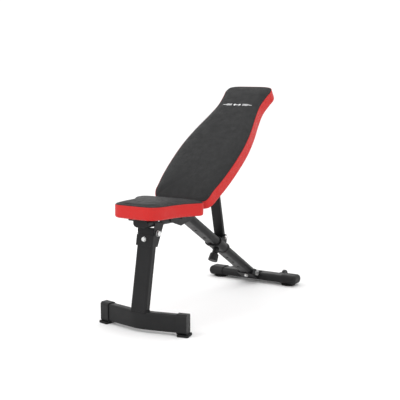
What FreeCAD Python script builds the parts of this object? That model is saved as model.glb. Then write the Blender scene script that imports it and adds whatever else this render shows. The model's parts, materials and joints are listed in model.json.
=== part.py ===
import FreeCAD, Part
import math
import os

# Adjustable sit up bench: a bolted steel frame with a fixed seat, a hinged backrest, and a strut
# whose foot rides on a sleeve that slides along the rear leg and is held by a spring pull pin.
#
# Frame of this file: +X to the sitter's left, +Y from the seat towards the head end, +Z up,
# floor at z = 0. Lengths are in mm, angles in degrees. The side view is laid out with y measured
# from the centre of the rear foot, and save() moves every piece so that the origin lies at the
# middle of the bench's footprint.

V = FreeCAD.Vector
X, Y, Z = V(1, 0, 0), V(0, 1, 0), V(0, 0, 1)
ORIGIN_Y = -385.8              # y of the footprint's middle, from the rear foot's centre

# stock, fits and gaps
OVAL_W, OVAL_T, WALL = 60.0, 30.0, 2.0      # flat-oval tube
PLATE = 3.0                    # bracket plate
RUN = 0.05                     # radial running fit of a shaft in its bore
HOLE = 0.25                    # radial clearance of a bolt in a plain hole
SLIP = 0.1                     # gap between fitted pieces that don't move
SLIDE = 0.35                   # gap between the sliding bushes and the leg
EAR_X = OVAL_W / 2 + SLIP      # inner face of every plate that straddles the oval tube

# fasteners: shank radius, width across flats, head height, nut height, washer radius and height
M8 = {"r": 4.0, "flats": 13.0, "head": 5.3, "nut": 6.5, "washer_r": 8.0, "washer": 1.6}
M10 = {"r": 5.0, "flats": 17.0, "head": 6.4, "nut": 8.0, "washer_r": 10.0, "washer": 2.0}
M12 = {"r": 6.0, "flats": 18.0, "head": 7.5, "nut": 9.0, "washer_r": 11.5, "washer": 2.0}
THREAD_OUT = 3.0               # thread left standing out of a nut

# seat
SEAT_TILT = 2.6                # the front edge is higher than the rear one
SEAT_EDGE = V(0, -841, 421.5)  # middle of the front edge, at the top seam
SEAT_PAD, SEAT_CROWN = 43.0, 5.0
SEAT_OUTLINE = [(0, 0), (45, 0.5), (66, 6), (80, 20), (90, 44), (94, 85), (98, 125), (106, 158),
                (121, 190), (133, 214), (129, 232), (104, 240), (0, 240)]
CROSSBAR_HALF, CROSSBAR_W, CROSSBAR_T, CROSSBAR_FLANGE = 62.0, 30.0, 3.0, 12.0
CROSSBAR_AT = {"front": 80.0, "rear": 200.0}
SEAT_BOLT_X = 47.0

# spine: beam under the seat, bend, straight rear leg
BEAM_AT = 55.0                 # the beam's front end, along the seat from its edge
LEG_ANGLE = 32.0               # below the horizontal
LEG_END = V(0, -29, 33.1)      # centre of the leg's lower end
BEND_R = 80.0
PIN_HOLE = V(0, -126, 93.7)    # leg's centre line at the lowest adjustment hole
PIN_PITCH, PIN_COUNT, PIN_LONE = 50.0, 7, 370.0
PIN_USED = 200.0               # the hole that the slider stands at, from the lowest one
PIN_HOLE_R = 5.2

# backrest
BACK_ANGLE = 34.6
BACK_EDGE = V(0, -596.4, 385.2)             # the pad's seam plane at slope distance 0
BACK_PAD, BACK_CROWN = 45.0, 3.0
BACK_OUTLINE = [(0, 44), (72, 44), (100, 50), (113, 70), (119, 106), (127, 160), (132, 240),
                (131, 330), (120, 415), (102, 500), (92, 565), (95, 622), (99, 653), (90, 677),
                (61, 686), (0, 687)]
HINGE_AT, HINGE_DROP = 58.0, 60.0           # slope distance, and depth under the seam plane
HINGE_BUSH_R, EAR_R, RAIL_NOSE_R = 10.0, 13.0, 12.5
RAIL_IN, RAIL_T, RAIL_DEPTH, RAIL_END = 43.0, 3.0, 25.0, 425.0
RAIL_BOLTS = (95.0, 150.0, 350.0, 405.0)
BOARD_T, COVER_T, BOARD_INSET = 12.0, 1.0, 14.0
EDGE_TOP_R, EDGE_LOW_R = 6.0, 8.0           # roundings of a pad's two rims

# strut
STRUT_W, STRUT_D, STRUT_WALL = 40.0, 15.0, 1.5
STRUT_FOOT = V(0, -276, 226)
STRUT_LEAN, STRUT_LENGTH = 13.2, 271.7
STRUT_TAIL, STRUT_HEAD = 8.0, 6.5           # tube past the lower and the upper pivot

# slider
SLEEVE_W, SLEEVE_T, SLEEVE_LENGTH, SLEEVE_GAP = 66.0, 36.0, 54.0, 0.8
COLLAR_W, COLLAR_T, COLLAR_LENGTH = 70.0, 40.0, 10.0
LUG_X, LUG_T, LUG_R, LUG_HALF = 20.5, 4.0, 11.0, 20.0
HOUSING_R, HOUSING_LENGTH, HOUSING_CAVITY_R = 11.0, 17.0, 7.5
PIN_TIP = 15.4                 # depth of the resting tip under the leg's centre line
PIN_COLLAR_R, PIN_COLLAR_AT, PIN_COLLAR_T = 6.5, 18.3, 1.2
KNOB_AT, KNOB_LENGTH, KNOB_R, KNOB_TAPER, KNOB_LOBES = 38.0, 28.0, 18.0, 2.0, 8
SPRING_R, SPRING_WIRE_R, SPRING_TURNS = 6.1, 0.5, 3
SPRING_STEPS = 12              # points of the coil's path in a turn

# front leg
FOOT_H, FOOT_D, FOOT_CORNER, FOOT_Z = 60.0, 30.0, 7.0, 40.0
FOOT_Y, FOOT_SWEEP, FOOT_BEND_R, FOOT_TUBE_X = -803.0, 11.5, 150.0, 165.0
FOOT_CAP_LENGTH, FOOT_CAP_WALL = 36.0, 3.0
FOOT_PAD_L, FOOT_PAD_W, FOOT_PAD_H = 40.0, 45.0, 7.0
POST_W, POST_D, POST_CORNER, POST_LEAN = 60.0, 30.0, 7.0, 11.6
POST_BASE, POST_LENGTH = V(0, -801.3, 70), 273.0
BRACKET_LOW, BRACKET_TOP = 212.0, 248.0
BRACKET_FRONT = POST_D / 2 + SLIP + PLATE   # front face of its web, from the post's middle
POST_BOLT_AT = 233.5           # along the post: the bolt from the front
CROSS_BOLT_AT, CROSS_BOLT_BACK = 256.5, 6.0

# rear foot
REAR_Z, REAR_TUBE_X, REAR_HALF, REAR_CAP_X = 24.0, 187.0, 194.0, 132.0
REAR_CAP_WALL, REAR_DOME_R = 3.0, 13.0
REAR_PAD_X, REAR_PAD_R = 152.0, 27.5
SADDLE_LENGTH = 50.0           # how far the rear bracket reaches up the leg
REAR_CROSS_AT, REAR_FRONT_AT = 17.5, 31.5   # its two bolts, from the leg's end
WHEEL_X, WHEEL_R, WHEEL_T, WHEEL_GAP = 110.0, 20.0, 12.0, 0.6
WHEEL_CENTRE = V(0, 52, 24)


def tilt(angle):
    """Unit vector in the side view, at an angle above the +Y direction."""
    return V(0, math.cos(math.radians(angle)), math.sin(math.radians(angle)))


SEAT_DIR, SEAT_UP = tilt(-SEAT_TILT), tilt(90 - SEAT_TILT)
BEAM_START = SEAT_EDGE + SEAT_DIR * BEAM_AT - SEAT_UP * (
    SEAT_PAD + CROSSBAR_T + SLIP + OVAL_T / 2)
LEG_DIR, LEG_UP = tilt(-LEG_ANGLE), tilt(90 - LEG_ANGLE)
BACK_DIR, BACK_UP = tilt(BACK_ANGLE), tilt(90 + BACK_ANGLE)
POST_UP, POST_BACK = tilt(90 - POST_LEAN), tilt(-POST_LEAN)
STRUT_UP, STRUT_BACK = tilt(90 + STRUT_LEAN), tilt(STRUT_LEAN)
HINGE = BACK_EDGE + BACK_DIR * HINGE_AT - BACK_UP * HINGE_DROP
STRUT_TOP = STRUT_FOOT + STRUT_UP * STRUT_LENGTH
SLIDER = PIN_HOLE - LEG_DIR * PIN_USED


# ---------------------------------------------------------------- shape helpers
def save(name, *shapes):
    shape = shapes[0] if len(shapes) == 1 else Part.makeCompound(list(shapes))
    shape = shape.copy()
    shape.translate(V(0, -ORIGIN_Y, 0))
    solids = shape.Solids
    if not solids or not all(solid.isValid() for solid in solids):
        print("bad solid in", name)
    if len(solids) == 1:
        shape = solids[0]
    shape.exportStep("parts/" + name + ".step")
    return shape


def fuse(*shapes):
    return shapes[0].multiFuse(list(shapes[1:])).removeSplitter()


def mirrored(shape):
    return shape.mirror(V(0, 0, 0), X)


def rounded_wire(centre, a, b, width, height, radius):
    """Rounded rectangle, width along the unit vector a and height along b."""
    ways = [a, b, a * -1, b * -1]
    arcs = []
    for i, (sa, sb) in enumerate(((1, 1), (-1, 1), (-1, -1), (1, -1))):
        corner = centre + a * (sa * (width / 2 - radius)) + b * (sb * (height / 2 - radius))
        first, last = ways[i], ways[(i + 1) % 4]
        middle = corner + (first + last) * (radius / math.sqrt(2))
        arcs.append((corner + first * radius, middle, corner + last * radius))
    edges = []
    for i, (start, middle, end) in enumerate(arcs):
        edges.append(Part.Arc(start, middle, end).toShape())
        following = arcs[(i + 1) % 4][0]
        if end.distanceToPoint(following) > 1e-6:
            edges.append(Part.makeLine(end, following))
    return Part.Wire(edges)


def bar(centre, a, b, width, height, radius, length):
    """Solid rounded bar that runs from centre along a x b."""
    face = Part.Face(rounded_wire(centre, a, b, width, height, radius))
    return face.extrude(a.cross(b) * length)


def ring_face(centre, a, b, width, height, radius, wall):
    outer = Part.Face(rounded_wire(centre, a, b, width, height, radius))
    inner = rounded_wire(centre, a, b, width - 2 * wall, height - 2 * wall, radius - wall)
    return outer.cut(Part.Face(inner)).Faces[0]


def bent_tube(start, way, turn, section, steps):
    """Tube through straight steps, given as a length, and bends (radius, angle about turn)."""
    width, height, radius, wall = section
    pieces = []
    point = start
    for step in steps:
        side = turn.cross(way)
        face = ring_face(point, turn, side, width, height, radius, wall)
        if isinstance(step, tuple):
            bend, angle = step
            sign = math.copysign(1, angle)
            centre = point + side * (bend * sign)
            pieces.append(face.revolve(centre, turn * sign, abs(angle)))
            spin = FreeCAD.Rotation(turn, angle)
            point = centre + spin.multVec(point - centre)
            way = spin.multVec(way)
        else:
            pieces.append(face.extrude(way * step))
            point = point + way * step
    return fuse(*pieces) if len(pieces) > 1 else pieces[0]


def rod(start, way, radius, length):
    return Part.makeCylinder(radius, length, start, way)


def pipe(start, way, radius, bore, length):
    return rod(start, way, radius, length).cut(rod(start, way, bore, length))


def across(centre, radius, half):
    """Cylinder through the side view at centre, from x = -half to x = half."""
    return rod(centre - X * half, X, radius, 2 * half)


def plate(points, x_low, thickness):
    """Plate with the outline of the side-view points, between two x values."""
    corners = [V(x_low, p.y, p.z) for p in points]
    return Part.Face(Part.makePolygon(corners + corners[:1])).extrude(X * thickness)


def both_sides(points, x_low, thickness, discs=()):
    """The same plate left and right of the middle, with round ends (centre, radius)."""
    left = plate(points, x_low, thickness)
    for centre, radius in discs:
        left = fuse(left, rod(centre + X * x_low, X, radius, thickness))
    return left, mirrored(left)


def hexagon(centre, way, flats, height):
    """Hexagonal prism with its far edge chamfered."""
    side = X if abs(way.dot(X)) < 0.9 else Y
    side = (side - way * side.dot(way)).normalize()
    corner_r = flats / math.sqrt(3)
    spins = [FreeCAD.Rotation(way, 60 * i) for i in range(7)]
    corners = [centre + spin.multVec(side * corner_r) for spin in spins]
    prism = Part.Face(Part.makePolygon(corners)).extrude(way * height)
    blank = rod(centre, way, corner_r, height)
    far = [edge for edge in blank.Edges
           if (edge.CenterOfMass - centre).dot(way) > 0.9 * height]
    return prism.common(blank.makeChamfer(0.12 * corner_r, far))


def bolt(seat, way, size, length):
    """Hex bolt: its head sits on seat, and its shank runs along way."""
    head = hexagon(seat, way * -1, size["flats"], size["head"])
    return fuse(head, rod(seat, way, size["r"], length))


def nut(seat, way, size):
    """Nut that sits on seat and stands out along way."""
    body = hexagon(seat, way, size["flats"], size["nut"])
    return body.cut(rod(seat, way, size["r"] + RUN, size["nut"]))


def washer(seat, way, size):
    return pipe(seat, way, size["washer_r"], size["r"] + HOLE, size["washer"])


def bolted(seat, way, size, grip):
    """Bolt, nut and two washers that clamp grip, from seat along way."""
    start = seat - way * size["washer"]
    far = seat + way * grip
    stack = grip + 2 * size["washer"] + size["nut"] + THREAD_OUT
    washers = [washer(seat, way * -1, size), washer(far, way, size)]
    return bolt(start, way, size, stack), nut(far + way * size["washer"], way, size), washers


def outline_face(half, base, along):
    """Face from half an outline of (half width, distance along), smoothed through its points."""
    right = [base + X * w + along * t for w, t in half]
    left = [base - X * w + along * t for w, t in half[-2:0:-1]]
    curve = Part.BSplineCurve()
    curve.interpolate(Points=right + left, PeriodicFlag=True)
    return Part.Face(Part.Wire([curve.toShape()]))


def inset(outline, gap):
    """The same half outline shrunk about its middle, by gap at its widest and at its ends."""
    first, last = outline[0][1], outline[-1][1]
    middle, reach = (first + last) / 2, (last - first) / 2
    widest = max(w for w, t in outline)
    return [(w * (1 - gap / widest), middle + (t - middle) * (1 - gap / reach))
            for w, t in outline]


def upholstery(outline, base, along, up, depth, crown):
    """Cushion, board and bottom cloth of a pad whose seam plane passes through base."""
    under = base - up * depth
    face = outline_face(outline, under, along)
    block = face.extrude(up * (depth + crown))
    rims = {EDGE_LOW_R: [], EDGE_TOP_R: []}
    for edge in block.Edges:
        height = (edge.CenterOfMass - under).dot(up)
        if edge.Length > 4 * depth:
            rims[EDGE_LOW_R if height < depth / 2 else EDGE_TOP_R].append(edge)
    low = block.makeFillet(EDGE_LOW_R, rims[EDGE_LOW_R])
    top_rim = [edge for edge in low.Edges
               if edge.Length > 4 * depth and (edge.CenterOfMass - under).dot(up) > depth]
    block = low.makeFillet(EDGE_TOP_R, top_rim)
    pocket = outline_face(inset(outline, BOARD_INSET), under, along)
    cushion = block.cut(pocket.extrude(up * (BOARD_T + COVER_T)))
    fitted = outline_face(inset(outline, BOARD_INSET + SLIP), under, along)
    cover = fitted.extrude(up * COVER_T)
    fitted.translate(up * COVER_T)
    return cushion, fitted.extrude(up * BOARD_T), cover


# ---------------------------------------------------------------- front leg
def front_foot():
    heading = V(math.cos(math.radians(FOOT_SWEEP)), -math.sin(math.radians(FOOT_SWEEP)), 0)
    bend_half = FOOT_BEND_R * math.sin(math.radians(FOOT_SWEEP))
    arm = (FOOT_TUBE_X - bend_half) / heading.x
    bend_y = FOOT_Y + FOOT_BEND_R * (1 - heading.x)
    start = V(-FOOT_TUBE_X, bend_y - heading.y * arm, FOOT_Z)
    section = (FOOT_H, FOOT_D, FOOT_CORNER, WALL)
    save("front_foot_tube",
         bent_tube(start, heading, Z, section, [arm, (FOOT_BEND_R, 2 * FOOT_SWEEP), arm]))

    out = V(heading.x, -heading.y, 0)
    tip = V(-start.x, start.y, FOOT_Z)
    side = Z.cross(out)
    grip = FOOT_CAP_LENGTH - FOOT_CAP_WALL
    cap = bar(tip - out * grip, side, Z, FOOT_D + 2 * FOOT_CAP_WALL, FOOT_H + 2 * FOOT_CAP_WALL,
              FOOT_CORNER + 2, FOOT_CAP_LENGTH)
    pocket = bar(tip - out * grip, side, Z, FOOT_D + 2 * SLIP, FOOT_H + 2 * SLIP,
                 FOOT_CORNER + SLIP, grip)
    cap = cap.cut(pocket)
    pad_middle = V(tip.x, tip.y, 0) - out * (FOOT_PAD_L / 2 - 9)
    pad = bar(pad_middle, out, side, FOOT_PAD_L, FOOT_PAD_W, 6, FOOT_PAD_H)
    save("front_foot_cap_left", cap)
    save("front_foot_cap_right", mirrored(cap))
    save("front_foot_pad_left", pad)
    save("front_foot_pad_right", mirrored(pad))


def on_post(up, back):
    return POST_BASE + POST_UP * up + POST_BACK * back


def on_beam(y, above):
    """Point of the side view above the beam's centre line at y."""
    return V(0, y, BEAM_START.z - (y - BEAM_START.y) * math.tan(math.radians(SEAT_TILT)) + above)


def front_post():
    below = 30.0
    face = ring_face(on_post(-below, 0), X, POST_BACK, POST_W, POST_D, POST_CORNER, WALL)
    post = face.extrude(POST_UP * (POST_LENGTH + below))
    post = post.cut(Part.makeBox(200, 400, 70, V(-100, POST_BASE.y - 200, 0)))
    front_hole = rod(on_post(POST_BOLT_AT, -40), POST_BACK, M8["r"] + HOLE, 80)
    cross_centre = on_post(CROSS_BOLT_AT, CROSS_BOLT_BACK)
    cross_hole = across(cross_centre, M10["r"] + HOLE, 50)
    save("front_post", post.cut(front_hole).cut(cross_hole))

    outer_w = 2 * (EAR_X + PLATE)
    folded = ring_face(on_post(BRACKET_LOW, 40 - BRACKET_FRONT), X, POST_BACK, outer_w, 80, 4,
                       PLATE).extrude(POST_UP * (BRACKET_TOP - BRACKET_LOW))
    open_back = Part.makeBox(200, 100, 100, V(-100, 0, 0))
    open_back.rotate(V(0, 0, 0), X, -POST_LEAN)
    open_back.translate(on_post(BRACKET_LOW - 20, 12 - BRACKET_FRONT))
    web = folded.cut(open_back)
    side = [on_post(BRACKET_LOW, 8 - BRACKET_FRONT), on_post(BRACKET_TOP, 8 - BRACKET_FRONT),
            on_post(BRACKET_TOP + 14, -13), on_beam(-757, 0), on_beam(-704, -5),
            on_post(BRACKET_LOW, 15)]
    bracket = fuse(web, *both_sides(side, EAR_X, PLATE))
    save("post_bracket", bracket.cut(front_hole).cut(cross_hole))

    front = bolted(on_post(POST_BOLT_AT, -BRACKET_FRONT), POST_BACK, M8,
                   BRACKET_FRONT + POST_D / 2)
    half = EAR_X + PLATE
    cross = bolted(cross_centre + X * half, X * -1, M10, 2 * half)
    save("post_front_bolt", front[0])
    save("post_cross_bolt", cross[0])
    return [front, cross]


# ---------------------------------------------------------------- spine and seat
def spine():
    bend = LEG_ANGLE - SEAT_TILT
    reach = LEG_END - BEAM_START
    leg_side = reach.y * math.sin(math.radians(LEG_ANGLE)) + reach.z * math.cos(
        math.radians(LEG_ANGLE))
    corner = leg_side / math.sin(math.radians(bend))
    tangent = BEND_R * math.tan(math.radians(bend / 2))
    vertex = BEAM_START + SEAT_DIR * corner
    leg = (LEG_END - vertex).Length
    section = (OVAL_W, OVAL_T, OVAL_T / 2, WALL)
    tube = bent_tube(BEAM_START, SEAT_DIR, X, section,
                     [corner - tangent, (BEND_R, -bend), leg - tangent])
    stops = [PIN_PITCH * i for i in range(PIN_COUNT)] + [PIN_LONE]
    for stop in stops:
        tube = tube.cut(rod(PIN_HOLE - LEG_DIR * stop, LEG_UP * -1, PIN_HOLE_R, OVAL_T))
    tube = tube.cut(across(LEG_END - LEG_DIR * REAR_CROSS_AT, M10["r"] + HOLE, 50))
    tube = tube.cut(rod(LEG_END - LEG_DIR * REAR_FRONT_AT, LEG_UP * -1, M8["r"] + HOLE, OVAL_T))
    save("spine_tube", tube)

    lip, insert = 5.0, 18.0
    flange = bar(BEAM_START - SEAT_DIR * lip, X, SEAT_UP, OVAL_W, OVAL_T, OVAL_T / 2, -lip)
    rim = [edge for edge in flange.Edges
           if (edge.CenterOfMass - BEAM_START).dot(SEAT_DIR) < -0.9 * lip]
    inside = 2 * (WALL + SLIP)
    shank = bar(BEAM_START, X, SEAT_UP, OVAL_W - inside, OVAL_T - inside,
                (OVAL_T - inside) / 2, -insert)
    save("spine_front_plug", fuse(flange.makeFillet(3.5, rim), shank))


def hinge():
    top = [V(0, HINGE.y + 9, HINGE.z + 9), V(0, HINGE.y - 9, HINGE.z + 9)]
    ear = [on_beam(-663, 3), on_beam(-660, -8), on_beam(-598, -27), on_beam(-587, -25),
           V(0, -545, 330), V(0, HINGE.y + EAR_R, 345), V(0, HINGE.y + EAR_R, HINGE.z)]
    ear += top + [V(0, -533.5, 358), on_beam(-548, 8)]
    half = EAR_X + PLATE
    bore = across(HINGE, M12["r"] + HOLE, 50)
    left, right = (side.cut(bore) for side in both_sides(ear, EAR_X, PLATE, [(HINGE, EAR_R)]))
    save("hinge_ear_left", left)
    save("hinge_ear_right", right)
    parts = bolted(HINGE + X * half, X * -1, M12, 2 * half)
    save("hinge_bolt", parts[0])
    return [parts]


def seat():
    cushion, board, cover = upholstery(SEAT_OUTLINE, SEAT_EDGE, SEAT_DIR, SEAT_UP, SEAT_PAD,
                                       SEAT_CROWN)
    bolts, washers = [], []
    for name, at in CROSSBAR_AT.items():
        middle = SEAT_EDGE + SEAT_DIR * at - SEAT_UP * (SEAT_PAD + CROSSBAR_T)
        flat = bar(middle, X, SEAT_DIR, 2 * CROSSBAR_HALF, CROSSBAR_W, 4, CROSSBAR_T)
        outward = -1 if name == "front" else 1
        lip_y = outward * (CROSSBAR_W / 2 - CROSSBAR_T / 2)
        lip_mid = middle + SEAT_DIR * lip_y - SEAT_UP * (CROSSBAR_FLANGE / 2 - CROSSBAR_T / 2)
        start, end = 38.0, CROSSBAR_HALF - 4
        lip = bar(lip_mid + X * start, SEAT_DIR, SEAT_UP, CROSSBAR_T,
                  CROSSBAR_FLANGE + CROSSBAR_T, 0.5, end - start)
        piece = fuse(flat, lip, mirrored(lip))
        for x in (-SEAT_BOLT_X, SEAT_BOLT_X):
            point = middle + X * x
            hole = rod(point - SEAT_UP * 20, SEAT_UP, M8["r"] + HOLE, 20 + CROSSBAR_T + BOARD_T)
            piece, board, cover = piece.cut(hole), board.cut(hole), cover.cut(hole)
            bolts.append(bolt(point - SEAT_UP * M8["washer"], SEAT_UP, M8, 16))
            washers.append(washer(point, SEAT_UP * -1, M8))
        save("seat_crossbar_" + name, piece)
    save("seat_cushion", cushion)
    save("seat_board", board)
    save("seat_bottom_cloth", cover)
    save("seat_bolts", *bolts)
    return washers


# ---------------------------------------------------------------- rear foot
def rear_foot():
    centre = V(0, 0, REAR_Z)
    section = (OVAL_W, OVAL_T, OVAL_T / 2)

    def foot_bar(x_low, x_high, grow=0.0):
        length = x_high - x_low
        solid = bar(V(x_low, 0, REAR_Z), Y, Z, section[0] + 2 * grow, section[1] + 2 * grow,
                    section[2] + grow, length)
        return solid

    tube = foot_bar(-REAR_TUBE_X, REAR_TUBE_X).cut(foot_bar(-REAR_TUBE_X, REAR_TUBE_X, -WALL))
    save("rear_foot_tube", tube)

    shell = foot_bar(REAR_CAP_X, REAR_HALF, REAR_CAP_WALL)
    dome = [edge for edge in shell.Edges if edge.CenterOfMass.x > REAR_HALF - 0.1]
    cap = shell.makeFillet(REAR_DOME_R, dome).cut(foot_bar(REAR_CAP_X, REAR_TUBE_X + SLIP, SLIP))
    pad_h = REAR_Z - OVAL_T / 2 - REAR_CAP_WALL
    pad = rod(V(REAR_PAD_X, 0, 0), Z, REAR_PAD_R, pad_h)
    rims = [edge for edge in pad.Edges if edge.Length > 3 * REAR_PAD_R]
    pad = pad.makeFillet(2, rims)
    for name, piece in (("cap", cap), ("pad", pad)):
        save("rear_foot_" + name + "_left", piece)
        save("rear_foot_" + name + "_right", mirrored(piece))

    def on_leg(up, above):
        return LEG_END - LEG_DIR * up + LEG_UP * above

    low = -OVAL_T / 2 - SLIP
    side = [on_leg(SADDLE_LENGTH, low - PLATE), on_leg(SADDLE_LENGTH, 0), on_leg(38, 10),
            on_leg(8, 13), V(0, -14, 43), V(0, 5, 42), centre, V(0, -24, 12),
            on_leg(-2, low - PLATE)]
    web = [on_leg(SADDLE_LENGTH, low - PLATE), on_leg(SADDLE_LENGTH, low), on_leg(-2, low),
           on_leg(-2, low - PLATE)]
    half = EAR_X + PLATE
    bracket = fuse(plate(web, -half, 2 * half), *both_sides(side, EAR_X, PLATE))
    bracket = bracket.cut(foot_bar(-half - 1, half + 1))
    cross_centre = on_leg(REAR_CROSS_AT, 0)
    front_seat = on_leg(REAR_FRONT_AT, low - PLATE)
    bracket = bracket.cut(across(cross_centre, M10["r"] + HOLE, 50))
    bracket = bracket.cut(rod(front_seat - LEG_UP * 5, LEG_UP, M8["r"] + HOLE, 20))
    save("rear_foot_bracket", bracket)
    cross = bolted(cross_centre + X * half, X * -1, M10, 2 * half)
    save("rear_cross_bolt", cross[0])
    grip = PLATE + SLIP + WALL
    front = bolted(front_seat, LEG_UP, M8, grip)
    save("rear_front_bolt", front[0])
    return [cross, front], foot_bar


def wheels(foot_bar):
    centre = WHEEL_CENTRE + X * WHEEL_X
    half_gap = WHEEL_T / 2 + WHEEL_GAP
    ear = [V(0, 14, 37), V(0, 38, 37), V(0, 57, 32), V(0, 62, 24), V(0, 57, 16), V(0, 44, 13),
           V(0, 14, 12)]
    inner = plate(ear, WHEEL_X - half_gap - PLATE, PLATE)
    outer = plate(ear, WHEEL_X + half_gap, PLATE)
    web = Part.makeBox(2 * (half_gap + PLATE), 14, PLATE, V(WHEEL_X - half_gap - PLATE, 17, 34))
    bracket = fuse(inner, outer, web).cut(foot_bar(WHEEL_X - 20, WHEEL_X + 20))
    bracket = bracket.cut(rod(centre - X * 20, X, M8["r"] + HOLE, 40))
    axle = bolted(centre + X * (half_gap + PLATE), X * -1, M8, 2 * (half_gap + PLATE))
    wheel = rod(centre - X * (WHEEL_T / 2), X, WHEEL_R, WHEEL_T)
    rims = [edge for edge in wheel.Edges if edge.Length > 3 * WHEEL_R]
    wheel = wheel.makeFillet(2.5, rims).cut(rod(centre - X * 20, X, M8["r"] + RUN, 40))
    dish_depth = 2.0
    for side in (-1, 1):
        start = centre + X * (side * (WHEEL_T / 2 - dish_depth))
        wheel = wheel.cut(pipe(start, X * side, 15, 8, dish_depth))
    for name, piece in (("wheel_bracket", bracket), ("wheel_axle", axle[0]), ("wheel", wheel)):
        save(name + "_left", piece)
        save(name + "_right", mirrored(piece))
    right = (None, mirrored(axle[1]), [mirrored(ring) for ring in axle[2]])
    return [axle, right]


# ---------------------------------------------------------------- backrest
def on_back(along, drop):
    return BACK_EDGE + BACK_DIR * along - BACK_UP * drop


def backrest():
    cushion, board, cover = upholstery(BACK_OUTLINE, BACK_EDGE, BACK_DIR, BACK_UP, BACK_PAD,
                                       BACK_CROWN)
    nose = HINGE_AT - RAIL_NOSE_R
    half_in = RAIL_IN / 2
    web_low = BACK_PAD + RAIL_T
    low = BACK_PAD + RAIL_DEPTH
    flange = [on_back(nose, BACK_PAD), on_back(RAIL_END, BACK_PAD),
              on_back(RAIL_END, BACK_PAD + 12), on_back(RAIL_END - 14, low),
              on_back(HINGE_AT + 4, low), on_back(nose, HINGE_DROP)]
    web = [on_back(nose, BACK_PAD), on_back(RAIL_END, BACK_PAD), on_back(RAIL_END, web_low),
           on_back(nose, web_low)]
    rail = fuse(plate(web, -half_in, RAIL_IN),
                *both_sides(flange, half_in, RAIL_T, [(HINGE, RAIL_NOSE_R)]))
    rail = rail.cut(across(HINGE, HINGE_BUSH_R + SLIP, 40))
    pivot = across(STRUT_TOP, M8["r"] + HOLE, 40)
    rail = rail.cut(pivot)
    bolts, washers = [], []
    for at in RAIL_BOLTS:
        seat_point = on_back(at, web_low)
        hole = rod(on_back(at, web_low + 5), BACK_UP, M8["r"] + HOLE, 5 + RAIL_T + BOARD_T)
        rail, board, cover = rail.cut(hole), board.cut(hole), cover.cut(hole)
        bolts.append(bolt(seat_point - BACK_UP * M8["washer"], BACK_UP, M8, 16))
        washers.append(washer(seat_point, BACK_UP * -1, M8))
    save("backrest_cushion", cushion)
    save("backrest_board", board)
    save("backrest_bottom_cloth", cover)
    save("backrest_rail", rail)
    save("backrest_bolts", *bolts)
    bush_gap = 0.35
    bush_half = EAR_X - bush_gap
    save("backrest_hinge_bush", pipe(HINGE - X * bush_half, X, HINGE_BUSH_R, M12["r"] + RUN,
                                     2 * bush_half))

    cheek_x = half_in + RAIL_T
    top_at = (STRUT_TOP - BACK_EDGE).dot(BACK_DIR)
    top_drop = (BACK_EDGE - STRUT_TOP).dot(BACK_UP)
    cheek = [on_back(top_at - 30, web_low + 1), on_back(top_at + 30, web_low + 1),
             on_back(top_at + 11, top_drop + 4), on_back(top_at - 11, top_drop + 4)]
    left, right = (side.cut(pivot) for side in
                   both_sides(cheek, cheek_x, PLATE, [(STRUT_TOP, 12)]))
    save("strut_bracket_cheeks", left, right)
    face_x = cheek_x + PLATE
    stub = face_x + M8["washer"] - half_in - SLIP
    head = bolt(STRUT_TOP + X * (face_x + M8["washer"]), X * -1, M8, stub)
    tail_seat = STRUT_TOP - X * (face_x + M8["washer"])
    tail = fuse(hexagon(tail_seat, X * -1, M8["flats"], M8["nut"]),
                rod(tail_seat - X * (M8["nut"] + THREAD_OUT), X, M8["r"],
                    M8["nut"] + THREAD_OUT + stub))
    save("strut_bracket_bolt_ends", head, tail)
    for side in (1, -1):
        washers.append(washer(STRUT_TOP + X * (side * face_x), X * side, M8))
    save("backrest_washers", *washers)


# ---------------------------------------------------------------- strut, slider and pull pin
def strut():
    start = STRUT_FOOT - STRUT_UP * STRUT_TAIL
    length = STRUT_LENGTH + STRUT_TAIL + STRUT_HEAD
    face = ring_face(start, X, STRUT_BACK, STRUT_W, STRUT_D, 3, STRUT_WALL)
    tube = face.extrude(STRUT_UP * length)
    bush_r = STRUT_D / 2 - STRUT_WALL - RUN
    bushes = []
    for centre in (STRUT_FOOT, STRUT_TOP):
        tube = tube.cut(across(centre, bush_r + SLIP, 40))
        bushes.append(pipe(centre - X * (STRUT_W / 2), X, bush_r, M8["r"] + RUN, STRUT_W))
    save("strut_tube", tube)
    save("strut_bushes", *bushes)
    pin_half = RAIL_IN / 2 - 0.5
    save("strut_top_pin", rod(STRUT_TOP - X * pin_half, X, M8["r"], 2 * pin_half))


def on_slider(along, above):
    return SLIDER + LEG_DIR * along + LEG_UP * above


def slider_bar(along, width, height, length):
    return bar(on_slider(along, 0), LEG_UP, X, width=height, height=width, radius=height / 2,
               length=length)


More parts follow.
